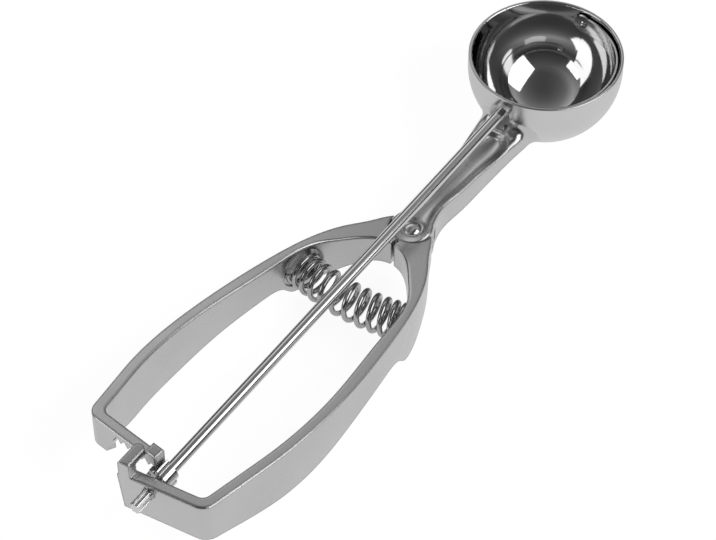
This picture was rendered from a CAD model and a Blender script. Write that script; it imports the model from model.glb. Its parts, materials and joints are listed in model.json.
import json
import math

import bpy
from mathutils import Matrix, Vector


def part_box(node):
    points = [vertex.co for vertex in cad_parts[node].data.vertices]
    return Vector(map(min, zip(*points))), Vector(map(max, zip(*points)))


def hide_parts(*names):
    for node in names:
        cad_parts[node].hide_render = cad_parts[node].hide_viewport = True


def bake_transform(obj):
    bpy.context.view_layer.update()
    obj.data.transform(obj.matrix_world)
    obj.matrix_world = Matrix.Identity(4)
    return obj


# A squeeze ice cream scoop of polished stainless steel, lying on a pale table.
# The CAD pieces keep their shapes and get their finishes here; the spring is wound anew.
# Lengths are in metres.
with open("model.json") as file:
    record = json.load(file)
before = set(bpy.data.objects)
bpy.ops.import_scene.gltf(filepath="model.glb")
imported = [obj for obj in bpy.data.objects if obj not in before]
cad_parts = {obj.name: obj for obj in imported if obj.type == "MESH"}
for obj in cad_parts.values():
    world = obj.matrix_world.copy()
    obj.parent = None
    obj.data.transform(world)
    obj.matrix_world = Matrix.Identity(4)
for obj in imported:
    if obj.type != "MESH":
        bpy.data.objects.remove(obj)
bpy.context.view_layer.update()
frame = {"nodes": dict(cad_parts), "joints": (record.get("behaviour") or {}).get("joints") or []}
piece = frame["nodes"]

# Bowl
# A spun shell of stainless steel, brushed fine outside and polished like a mirror inside.
# Faint rings from the spinning tool run round inside it. The neck is brazed to its back.
ball_centre = Vector(next(joint["pos_m"] for joint in frame["joints"] if joint["name"] == "sweep"))
bowl_inner_radius = 0.019
bowl_wall = 0.001
mirror_side_of_wall = 0.45
mirror_roughness = (0.03, 0.09)
satin_roughness = (0.26, 0.36)
bowl_greys = (0.60, 0.70)
ring_scale = 900.0
ring_detail = 3.0
ring_relief = 0.000004
rim_edge = 0.0002
edge_samples = 8


def new_steel(name, colour, roughness):
    """A bare steel material: itself, its tree and its shader node."""
    material = bpy.data.materials.new(name)
    material.use_nodes = True
    tree = material.node_tree
    shader = tree.nodes["Principled BSDF"]
    shader.inputs["Metallic"].default_value = 1.0
    shader.inputs["Base Color"].default_value = (*colour, 1.0)
    shader.inputs["Roughness"].default_value = roughness
    return material, tree, shader


def noise(tree, scale, stretch=(1, 1, 1), detail=2.0):
    """Noise on the object's own coordinates, stretched along its axes."""
    place = tree.nodes.new("ShaderNodeTexCoord")
    mapping = tree.nodes.new("ShaderNodeMapping")
    mapping.inputs["Scale"].default_value = stretch
    pattern = tree.nodes.new("ShaderNodeTexNoise")
    pattern.inputs["Scale"].default_value = scale
    pattern.inputs["Detail"].default_value = detail
    tree.links.new(place.outputs["Object"], mapping.inputs["Vector"])
    tree.links.new(mapping.outputs["Vector"], pattern.inputs["Vector"])
    return pattern.outputs["Fac"]


def between(tree, value, low, high):
    """A value from 0 to 1 moved to lie between two others."""
    spread = tree.nodes.new("ShaderNodeMapRange")
    spread.inputs["To Min"].default_value = low
    spread.inputs["To Max"].default_value = high
    tree.links.new(value, spread.inputs["Value"])
    return spread.outputs["Result"]


def calc(tree, operation, a, b=None):
    """A sum with one or two terms, each a number or another node's output."""
    node = tree.nodes.new("ShaderNodeMath")
    node.operation = operation
    for socket, value in zip(node.inputs, (a, b)):
        if isinstance(value, (int, float)):
            socket.default_value = value
        elif value is not None:
            tree.links.new(value, socket)
    return node.outputs[0]


def tint(tree, shader, scale, greys):
    """Cloudy differences in the metal's grey."""
    ramp = tree.nodes.new("ShaderNodeValToRGB")
    for element, grey in zip(ramp.color_ramp.elements, greys):
        element.color = (grey, grey, grey, 1)
    tree.links.new(noise(tree, scale), ramp.inputs["Fac"])
    tree.links.new(ramp.outputs["Color"], shader.inputs["Base Color"])


def polish(tree, shader, pattern, roughness):
    """Roughness that follows the marks of the polishing."""
    tree.links.new(between(tree, pattern, *roughness), shader.inputs["Roughness"])


def relief(tree, shader, pattern, depth, soft_edge):
    """Fine relief on a surface whose edges the polishing has rounded by soft_edge."""
    marks = tree.nodes.new("ShaderNodeBump")
    marks.inputs["Distance"].default_value = depth
    tree.links.new(pattern, marks.inputs["Height"])
    tree.links.new(marks.outputs["Normal"], shader.inputs["Normal"])
    edge = tree.nodes.new("ShaderNodeBevel")
    edge.samples = edge_samples
    edge.inputs["Radius"].default_value = soft_edge
    tree.links.new(edge.outputs["Normal"], marks.inputs["Normal"])
    return edge, marks


def from_ball(tree):
    """The place on the object, measured from the centre of the bowl's ball."""
    place = tree.nodes.new("ShaderNodeTexCoord")
    shift = tree.nodes.new("ShaderNodeVectorMath")
    shift.operation = "SUBTRACT"
    shift.inputs[1].default_value = ball_centre
    tree.links.new(place.outputs["Object"], shift.inputs[0])
    return shift.outputs["Vector"]


def finish_with(node_name, material):
    """The CAD piece takes this material in all its slots."""
    for place in piece[node_name].material_slots:
        place.material = material


bowl_steel, tree, shader = new_steel("bowl_steel", (0.66, 0.66, 0.67), 0.2)
axes = tree.nodes.new("ShaderNodeSeparateXYZ")
tree.links.new(from_ball(tree), axes.inputs["Vector"])

# Below the ball's centre the wall is round, above it straight, so the height counts only below
depth_below = calc(tree, "MINIMUM", axes.outputs["Z"], 0.0)
across = calc(tree, "ADD", calc(tree, "POWER", axes.outputs["X"], 2.0),
              calc(tree, "POWER", axes.outputs["Y"], 2.0))
distance_squared = calc(tree, "ADD", across, calc(tree, "POWER", depth_below, 2.0))
mirror_limit = bowl_inner_radius + bowl_wall * mirror_side_of_wall
outside = calc(tree, "GREATER_THAN", distance_squared, mirror_limit ** 2)
ring_place = tree.nodes.new("ShaderNodeCombineXYZ")
tree.links.new(calc(tree, "SQRT", across), ring_place.inputs["X"])
tree.links.new(axes.outputs["Z"], ring_place.inputs["Y"])
rings = tree.nodes.new("ShaderNodeTexNoise")
rings.inputs["Scale"].default_value = ring_scale
rings.inputs["Detail"].default_value = ring_detail
tree.links.new(ring_place.outputs["Vector"], rings.inputs["Vector"])
sides = tree.nodes.new("ShaderNodeMix")
tree.links.new(outside, sides.inputs["Factor"])
tree.links.new(between(tree, rings.outputs["Fac"], *mirror_roughness), sides.inputs["A"])
tree.links.new(between(tree, noise(tree, 60.0), *satin_roughness), sides.inputs["B"])
tree.links.new(sides.outputs["Result"], shader.inputs["Roughness"])
tint(tree, shader, 45.0, bowl_greys)
relief(tree, shader, rings.outputs["Fac"], ring_relief, rim_edge)
finish_with("bowl", bowl_steel)

# Neck
# A casting of stainless steel, brazed to the bowl and polished together with it, so that
# its root runs into the bowl without an edge. The belt leaves fine lines along it.
casting_roughness = (0.18, 0.34)
casting_greys = (0.50, 0.64)
belt_line_stretch = (60.0, 2600.0, 2600.0)
belt_line_detail = 3.0
belt_relief = 0.000006
neck_edge = 0.0012
root_end = 0.0225


def cast_steel(name, soft_edge):
    """Cast steel after the belt: the material, its tree, its edge and its relief."""
    material, tree, shader = new_steel(name, (0.62, 0.62, 0.63), 0.3)
    belt_lines = noise(tree, 1.0, belt_line_stretch, belt_line_detail)
    polish(tree, shader, noise(tree, 70.0), casting_roughness)
    tint(tree, shader, 38.0, casting_greys)
    edge, marks = relief(tree, shader, belt_lines, belt_relief, soft_edge)
    return material, tree, edge, marks


neck_steel, tree, edge, marks = cast_steel("neck_steel", neck_edge)

# Near the ball the surface keeps its own direction, because the root has no edge there.
# The node's vector sockets share their names with its others, so they go by number.
vector_a, vector_b, vector_result = 4, 5, 1
away = tree.nodes.new("ShaderNodeVectorMath")
away.operation = "LENGTH"
tree.links.new(from_ball(tree), away.inputs[0])
flat = tree.nodes.new("ShaderNodeNewGeometry")
root = tree.nodes.new("ShaderNodeMix")
root.data_type = "VECTOR"
tree.links.new(calc(tree, "GREATER_THAN", away.outputs["Value"], root_end), root.inputs["Factor"])
tree.links.new(flat.outputs["Normal"], root.inputs[vector_a])
tree.links.new(edge.outputs["Normal"], root.inputs[vector_b])
tree.links.new(root.outputs[vector_result], marks.inputs["Normal"])
finish_with("neck", neck_steel)

# Levers
# Two castings of stainless steel that turn in the neck's fork, polished along their length
# to a satin sheen. The belt leaves very fine lines, and softens the long edges.
lever_edge = 0.001
lever_steel = cast_steel("lever_steel", lever_edge)[0]
finish_with("fixed_handle", lever_steel)
finish_with("moving_handle", lever_steel)

# Pivot rivet
# A turned rivet of stainless steel, peened under the fork so that it holds both levers.
# Fine marks from the polishing wheel run all ways over it.
wheel_roughness = (0.09, 0.2)
wheel_greys = (0.62, 0.72)
wheel_relief = 0.000004
small_edge = 0.0002
turned_steel, tree, shader = new_steel("turned_steel", (0.68, 0.68, 0.69), 0.14)
polish(tree, shader, noise(tree, 400.0), wheel_roughness)
tint(tree, shader, 150.0, wheel_greys)
relief(tree, shader, noise(tree, 1500.0), wheel_relief, small_edge)
finish_with("pivot_rivet", turned_steel)

# Pinion
# A small gear of stainless steel, pressed on the scraper rod beside the end plate.
# It is milled from a turned blank and polished as the rivet is.
finish_with("rod_pinion", turned_steel)

# Scraper blade and its pin
# A thin band of stainless steel, pressed to the bowl's curve and riveted to the rod.
# Its far tab turns on a round-headed pin in the bowl's wall.
finish_with("scraper_blade", turned_steel)
finish_with("blade_pin", turned_steel)

# Scraper rod
# A drawn rod of stainless steel, 3 mm thick, with a fluted tail end.
# The drawing die leaves fine lines along it.
rod_roughness = (0.08, 0.2)
rod_greys = (0.62, 0.70)
drawn_line_stretch = (12.0, 5000.0, 5000.0)
drawn_relief = 0.000003
flute_edge = 0.0001
rod_steel, tree, shader = new_steel("rod_steel", (0.68, 0.68, 0.69), 0.12)
drawn_lines = noise(tree, 1.0, drawn_line_stretch)
polish(tree, shader, drawn_lines, rod_roughness)
tint(tree, shader, 90.0, rod_greys)
relief(tree, shader, drawn_lines, drawn_relief, flute_edge)
finish_with("scraper_rod", rod_steel)

# Return spring
# Bright round wire of spring steel, wound in eleven turns and let into a pocket in each lever.
# It bows towards the tail, and its turns lie closer at both ends.
turns = 11
points_per_turn = 56
wire_corners = 20
coil_radius = 0.00435
wire_radius = 0.0007
closing_at_ends = -0.22
end_turn = math.radians(15.0)
wire_roughness = (0.08, 0.2)
wire_greys = (0.36, 0.52)
wire_relief = 0.000005
wire_edge = 0.0001
spring_wire, tree, shader = new_steel("spring_wire", (0.66, 0.66, 0.67), 0.12)
polish(tree, shader, noise(tree, 500.0), wire_roughness)
tint(tree, shader, 260.0, wire_greys)
relief(tree, shader, noise(tree, 2200.0), wire_relief, wire_edge)

# The middle of each pocket's floor, and the arc on which the coil bows from one to the other
fixed_floor = ball_centre + Vector((-0.0841, -0.0149, -0.0108))
moving_floor = ball_centre + Vector((-0.0841, 0.0174, -0.0108))
fixed_out = Vector((-math.sin(end_turn), math.cos(end_turn), 0))
moving_out = Vector((-math.sin(end_turn), -math.cos(end_turn), 0))
first = fixed_floor + fixed_out * wire_radius
last = moving_floor + moving_out * wire_radius
bow_radius = (last - first).length / 2 / math.sin(end_turn)
bow_centre = (first + last) / 2 + Vector((bow_radius * math.cos(end_turn), 0, 0))


def spring_tree():
    """Geometry Nodes for a helix bent along an arc, swept with a round wire."""
    tree = bpy.data.node_groups.new("wound_spring", "GeometryNodeTree")
    tree.interface.new_socket("Geometry", in_out="OUTPUT", socket_type="NodeSocketGeometry")
    for name in ("Turns", "Coil Radius", "Wire Radius", "Bow Radius", "End Turn", "Closing"):
        tree.interface.new_socket(name, in_out="INPUT", socket_type="NodeSocketFloat")
    nodes, links = tree.nodes, tree.links
    size = nodes.new("NodeGroupInput").outputs
    made = nodes.new("NodeGroupOutput")

    line = nodes.new("GeometryNodeCurvePrimitiveLine")
    line.inputs["End"].default_value = (0, 0, 1)
    points = nodes.new("GeometryNodeResampleCurve")
    points.inputs["Count"].default_value = turns * points_per_turn
    links.new(line.outputs["Curve"], points.inputs["Curve"])

    # Each point's share of the way gives its swing along the arc and its turn round the coil
    along = nodes.new("GeometryNodeSplineParameter").outputs["Factor"]
    wave = calc(tree, "SINE", calc(tree, "MULTIPLY", along, 2 * math.pi))
    closer = calc(tree, "MULTIPLY", calc(tree, "DIVIDE", wave, 2 * math.pi), size["Closing"])
    share = calc(tree, "ADD", along, closer)
    both_ways = calc(tree, "SUBTRACT", calc(tree, "MULTIPLY", share, 2.0), 1.0)
    swing = calc(tree, "MULTIPLY", both_ways, size["End Turn"])
    turn = calc(tree, "MULTIPLY", calc(tree, "MULTIPLY", along, size["Turns"]), 2 * math.pi)
    outward = calc(tree, "MULTIPLY", size["Coil Radius"], calc(tree, "COSINE", turn))
    reach = calc(tree, "ADD", size["Bow Radius"], outward)
    towards_tail = calc(tree, "MULTIPLY", calc(tree, "COSINE", swing), -1.0)
    place = nodes.new("ShaderNodeCombineXYZ")
    links.new(calc(tree, "MULTIPLY", reach, towards_tail), place.inputs["X"])
    links.new(calc(tree, "MULTIPLY", reach, calc(tree, "SINE", swing)), place.inputs["Y"])
    links.new(calc(tree, "MULTIPLY", size["Coil Radius"], calc(tree, "SINE", turn)), place.inputs["Z"])
    bent = nodes.new("GeometryNodeSetPosition")
    links.new(points.outputs["Curve"], bent.inputs["Geometry"])
    links.new(place.outputs["Vector"], bent.inputs["Position"])

    section = nodes.new("GeometryNodeCurvePrimitiveCircle")
    section.inputs["Resolution"].default_value = wire_corners
    links.new(size["Wire Radius"], section.inputs["Radius"])
    sweep = nodes.new("GeometryNodeCurveToMesh")
    sweep.inputs["Fill Caps"].default_value = True
    links.new(bent.outputs["Geometry"], sweep.inputs["Curve"])
    links.new(section.outputs["Curve"], sweep.inputs["Profile Curve"])
    smooth = nodes.new("GeometryNodeSetShadeSmooth")
    links.new(sweep.outputs["Mesh"], smooth.inputs["Geometry"])
    real = nodes.new("GeometryNodeRealizeInstances")
    links.new(smooth.outputs["Geometry"], real.inputs["Geometry"])
    painted = nodes.new("GeometryNodeSetMaterial")
    painted.inputs["Material"].default_value = spring_wire
    links.new(real.outputs["Geometry"], painted.inputs["Geometry"])
    links.new(painted.outputs["Geometry"], made.inputs["Geometry"])
    return tree


maker = bpy.data.objects.new("spring_maker", bpy.data.meshes.new("spring_maker"))
bpy.context.collection.objects.link(maker)
winding = maker.modifiers.new("wound_spring", "NODES")
winding.node_group = spring_tree()
spring_sizes = {"Turns": float(turns), "Coil Radius": coil_radius, "Wire Radius": wire_radius,
                "Bow Radius": bow_radius, "End Turn": end_turn, "Closing": closing_at_ends}
for socket in winding.node_group.interface.items_tree:
    if socket.in_out == "INPUT":
        winding[socket.identifier] = spring_sizes[socket.name]
bpy.context.view_layer.update()
wound = bpy.data.meshes.new_from_object(maker.evaluated_get(bpy.context.evaluated_depsgraph_get()))
maker.modifiers.remove(winding)
bpy.data.objects.remove(maker)
wound.transform(Matrix.Translation(bow_centre))
spring = bpy.data.objects.new("wound_return_spring", wound)
bpy.context.collection.objects.link(spring)
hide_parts("return_spring")
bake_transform(spring)

# Table
# A plain pale table top, at the height of the bowl's lowest point.
# Seen directly or in the steel it is nearly white, and it still takes the scoop's shadow.
table_half = 3
table_grey = 0.92
table_glow = 1.215
seen_glow = 0.75
mirrored_glow = 0.5
table_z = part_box("bowl")[0][2]
table_mesh = bpy.data.meshes.new("table_top")
table_corners = [(x * table_half, y * table_half, table_z) for x, y in ((-1, -1), (1, -1), (1, 1), (-1, 1))]
table_mesh.from_pydata(table_corners, [], [(0, 1, 2, 3)])
table = bpy.data.objects.new("table_top", table_mesh)
bpy.context.collection.objects.link(table)
table_paint = bpy.data.materials.new("table_paint")
table_paint.use_nodes = True
tree = table_paint.node_tree
tree.nodes.clear()
output = tree.nodes.new("ShaderNodeOutputMaterial")
matt = tree.nodes.new("ShaderNodeBsdfDiffuse")
matt.inputs["Color"].default_value = (table_grey, table_grey, table_grey, 1)
glow = tree.nodes.new("ShaderNodeEmission")
glow.inputs["Strength"].default_value = table_glow
rays = tree.nodes.new("ShaderNodeLightPath")
glow_share = calc(tree, "MAXIMUM", calc(tree, "MULTIPLY", rays.outputs["Is Camera Ray"], seen_glow),
                  calc(tree, "MULTIPLY", rays.outputs["Is Glossy Ray"], mirrored_glow))
blend = tree.nodes.new("ShaderNodeMixShader")
tree.links.new(glow_share, blend.inputs["Fac"])
tree.links.new(matt.outputs["BSDF"], blend.inputs[1])
tree.links.new(glow.outputs["Emission"], blend.inputs[2])
tree.links.new(blend.outputs["Shader"], output.inputs["Surface"])
table_mesh.materials.append(table_paint)

# Light
# Two large softboxes stand left and right of the camera and a dimmer one opposite it, in a
# grey studio. The mirror inside the bowl shows them, and the levers' tops show the ceiling.
aim = ball_centre + Vector((-0.07, 0.0, 0.0))


def softbox(name, azimuth, elevation, distance, width, height, radiance):
    """An area light that faces the scoop; radiance is how bright its face looks."""
    a, e = math.radians(azimuth), math.radians(elevation)
    back = Vector((math.cos(a) * math.cos(e), math.sin(a) * math.cos(e), math.sin(e)))
    light = bpy.data.lights.new(name, "AREA")
    light.shape = "RECTANGLE"
    light.size = width
    light.size_y = height
    light.energy = radiance * math.pi * width * height
    lamp = bpy.data.objects.new(name, light)
    lamp.rotation_mode = "QUATERNION"
    lamp.rotation_quaternion = back.to_track_quat("Z", "Y")
    lamp.location = aim + back * distance
    bpy.context.collection.objects.link(lamp)


softbox("right_softbox", azimuth=-80, elevation=40, distance=0.9, width=0.8, height=0.6, radiance=2.2)
softbox("left_softbox", azimuth=146, elevation=26, distance=0.9, width=0.5, height=0.45, radiance=1.8)
softbox("far_softbox", azimuth=60, elevation=38, distance=1.1, width=0.9, height=0.3, radiance=0.55)

# Studio
# The room round the table: grey walls, lightest half way up, and a dark ceiling above.
# It is dark on the camera's side and light opposite it. Seen directly it is white paper.
room_greys = [(0.0, 0.02), (0.25, 0.05), (0.55, 0.26), (0.72, 0.42), (0.85, 0.2), (1.0, 0.1)]
light_side = (0.82, 0.57, 0.0)
dark_from, light_from = -0.7, 0.6
dark_strength, light_strength = 0.25, 1.25
world = bpy.data.worlds.new("studio")
bpy.context.scene.world = world
world.use_nodes = True
tree = world.node_tree
tree.nodes.clear()
output = tree.nodes.new("ShaderNodeOutputWorld")
direction = tree.nodes.new("ShaderNodeTexCoord")
height = tree.nodes.new("ShaderNodeSeparateXYZ")
tree.links.new(direction.outputs["Generated"], height.inputs["Vector"])
walls = tree.nodes.new("ShaderNodeValToRGB")
for place, grey in room_greys[1:-1]:
    walls.color_ramp.elements.new(place)
for element, (place, grey) in zip(walls.color_ramp.elements, room_greys):
    element.position = place
    element.color = (grey, grey, grey, 1)
tree.links.new(height.outputs["Z"], walls.inputs["Fac"])
studio = tree.nodes.new("ShaderNodeBackground")
tree.links.new(walls.outputs["Color"], studio.inputs["Color"])
facing = tree.nodes.new("ShaderNodeVectorMath")
facing.operation = "DOT_PRODUCT"
facing.inputs[1].default_value = light_side
tree.links.new(direction.outputs["Generated"], facing.inputs[0])
dimming = tree.nodes.new("ShaderNodeMapRange")
dimming.inputs["From Min"].default_value = dark_from
dimming.inputs["From Max"].default_value = light_from
dimming.inputs["To Min"].default_value = dark_strength
dimming.inputs["To Max"].default_value = light_strength
tree.links.new(facing.outputs["Value"], dimming.inputs["Value"])
tree.links.new(dimming.outputs["Result"], studio.inputs["Strength"])
paper = tree.nodes.new("ShaderNodeBackground")
rays = tree.nodes.new("ShaderNodeLightPath")
blend = tree.nodes.new("ShaderNodeMixShader")
tree.links.new(rays.outputs["Is Camera Ray"], blend.inputs["Fac"])
tree.links.new(studio.outputs["Background"], blend.inputs[1])
tree.links.new(paper.outputs["Background"], blend.inputs[2])
tree.links.new(blend.outputs["Shader"], output.inputs["Surface"])

# Camera
# It looks down from behind the levers' tail, from the right, as the photograph was taken.
# Its lens is given as its focal length in pixels of a picture 716 wide.
focal_length_pixels = 2700
picture_width = 716
camera_from_ball = Vector((-0.4278, -0.2432, 0.4987))
look = Vector((0.5263, 0.3721, -0.7645)).normalized()
right = Vector((0.5773, -0.8165, 0.0)).normalized()
top = right.cross(look)
camera_data = bpy.data.cameras.new("camera")
camera_data.sensor_width = 36.0
camera_data.lens = focal_length_pixels * camera_data.sensor_width / picture_width
camera = bpy.data.objects.new("camera", camera_data)
place = ball_centre + camera_from_ball
camera.matrix_world = Matrix((
    (right.x, top.x, -look.x, place.x), (right.y, top.y, -look.y, place.y),
    (right.z, top.z, -look.z, place.z), (0, 0, 0, 1)))
bpy.context.collection.objects.link(camera)
bpy.context.scene.camera = camera
bpy.context.scene.view_settings.view_transform = "Standard"
